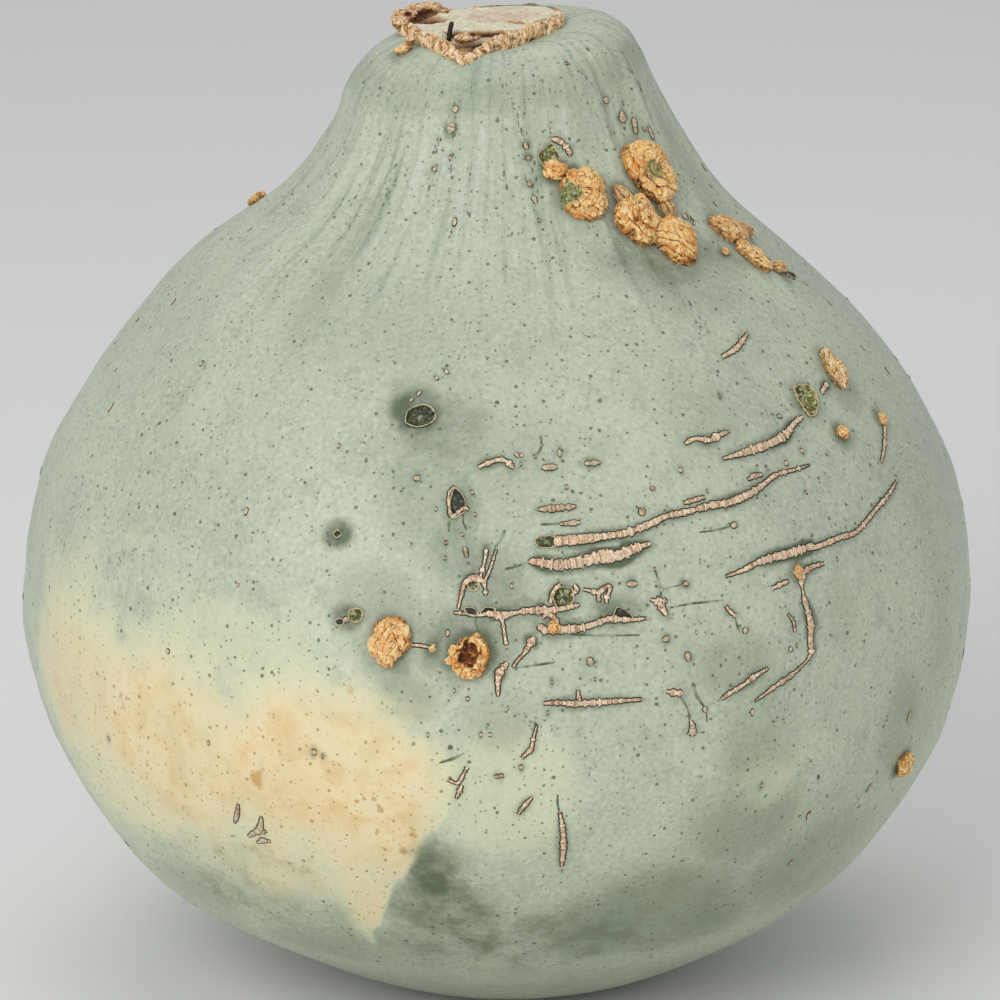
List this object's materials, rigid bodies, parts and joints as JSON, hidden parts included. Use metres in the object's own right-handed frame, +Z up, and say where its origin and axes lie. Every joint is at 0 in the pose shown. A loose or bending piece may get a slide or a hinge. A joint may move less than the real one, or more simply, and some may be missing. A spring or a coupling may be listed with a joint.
{
  "type": "blue hubbard squash",
  "caption": "Whole pear-shaped winter squash with a grey-green rind, cork warts and scars and a dried stem stub, standing on its flat blossom end.",
  "frame": {"origin": "middle of the flat patch on the blossom end that the squash rests on", "axes": "+Z up the squash from the resting patch to the stem stub, -Y the front, where most scars are, +X to the right, where the cluster of warts is"},
  "size_m": [0.261, 0.2615, 0.2682],
  "materials": {
    "rind": "satin, waxy grey-green rind with darker flecks",
    "cork": "dry, wrinkled cork and stem fibre"
  },
  "bodies": {
    "root": {"squash_body": "rind", "stem_stub": "cork"}
  },
  "joints": []
}
